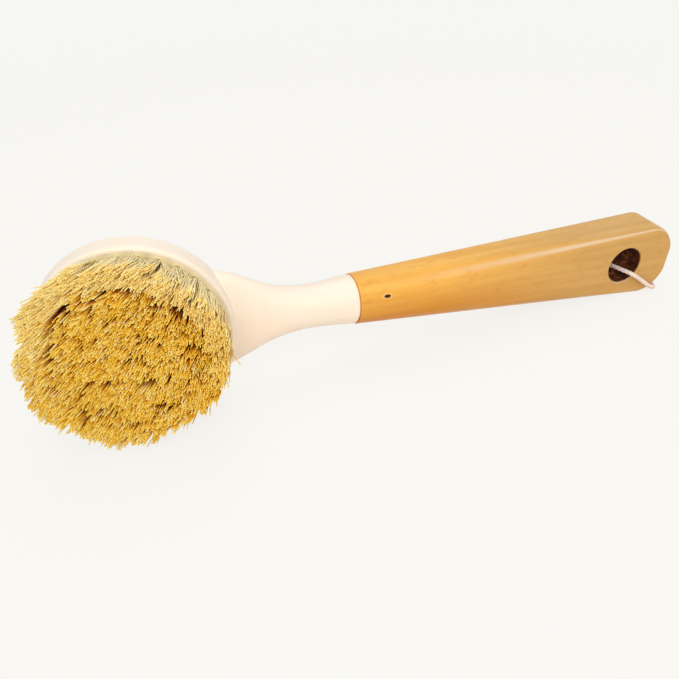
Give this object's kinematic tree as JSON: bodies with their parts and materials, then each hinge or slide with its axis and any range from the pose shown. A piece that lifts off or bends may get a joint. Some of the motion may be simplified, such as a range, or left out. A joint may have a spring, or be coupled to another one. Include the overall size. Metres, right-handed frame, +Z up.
{
  "type": "dish brush",
  "caption": "Long-handled dish brush: round moulded head with a tapering neck, plant-fibre tufts, a flat bamboo handle with a hanging hole, and a tied cord.",
  "frame": {"origin": "on the floor under the middle of the brush as it lies on its side, on the head's edge and the narrow side of the handle's end", "axes": "+X from the head towards the handle's hanging hole, -Y the way the bristles point, +Z up"},
  "size_m": [0.2461, 0.0915, 0.0643],
  "materials": {
    "head_plastic": "smooth moulded, soft sheen",
    "bamboo": "clear varnished bamboo",
    "plant_fibre": "dry cut plant fibre",
    "anchor_wire": "plain wire",
    "cotton_cord": "twisted cotton"
  },
  "bodies": {
    "root": {"brush_head": "head_plastic", "bamboo_handle": "bamboo", "tufts_edge_ring": "plant_fibre", "tufts_row_1": "plant_fibre", "tufts_row_2": "plant_fibre", "tufts_row_3": "plant_fibre", "tufts_row_4": "plant_fibre", "tufts_row_5": "plant_fibre", "tufts_row_6": "plant_fibre", "tuft_anchors": "anchor_wire", "hanging_cord": "cotton_cord", "cord_knot": "cotton_cord"}
  },
  "joints": []
}
